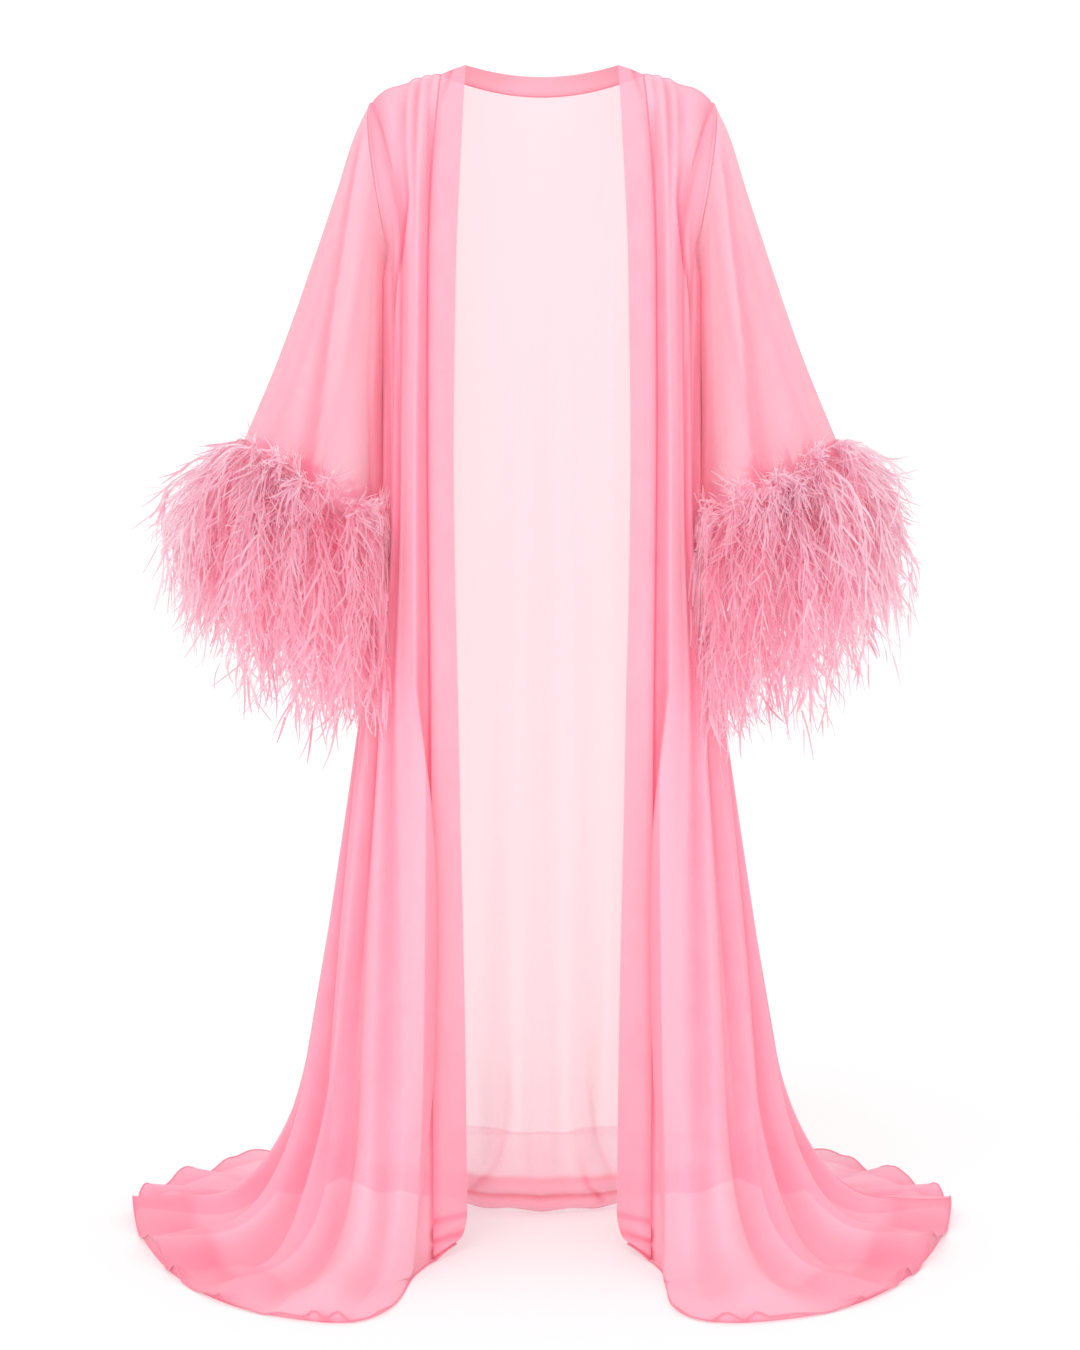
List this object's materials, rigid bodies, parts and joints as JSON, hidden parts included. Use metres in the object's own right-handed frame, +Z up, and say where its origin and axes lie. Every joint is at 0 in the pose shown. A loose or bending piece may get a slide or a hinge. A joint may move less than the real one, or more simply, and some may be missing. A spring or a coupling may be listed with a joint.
{
  "type": "feather cover-up",
  "caption": "Sheer pink full-length open robe with banded front edges, wide bell sleeves ending in long feather cuffs, and a hem that pools on the floor as a train.",
  "frame": {"origin": "midway between the two neck points, where the shoulder seams meet the neck and the wearer's shoulders carry the robe", "axes": "+Z up, -Y to the open front, +X to the wearer's left"},
  "size_m": [1.0452, 1.0514, 1.4409],
  "materials": {
    "chiffon": "sheer soft chiffon",
    "band_chiffon": "doubled sheer chiffon",
    "feathers": "matte fine ostrich plume"
  },
  "bodies": {
    "root": {"back": "chiffon", "back_neckband": "band_chiffon", "left_feather_cuff": "feathers", "left_front": "chiffon", "left_front_band": "band_chiffon", "left_sleeve": "chiffon", "right_feather_cuff": "feathers", "right_front": "chiffon", "right_front_band": "band_chiffon", "right_sleeve": "chiffon"}
  },
  "joints": []
}
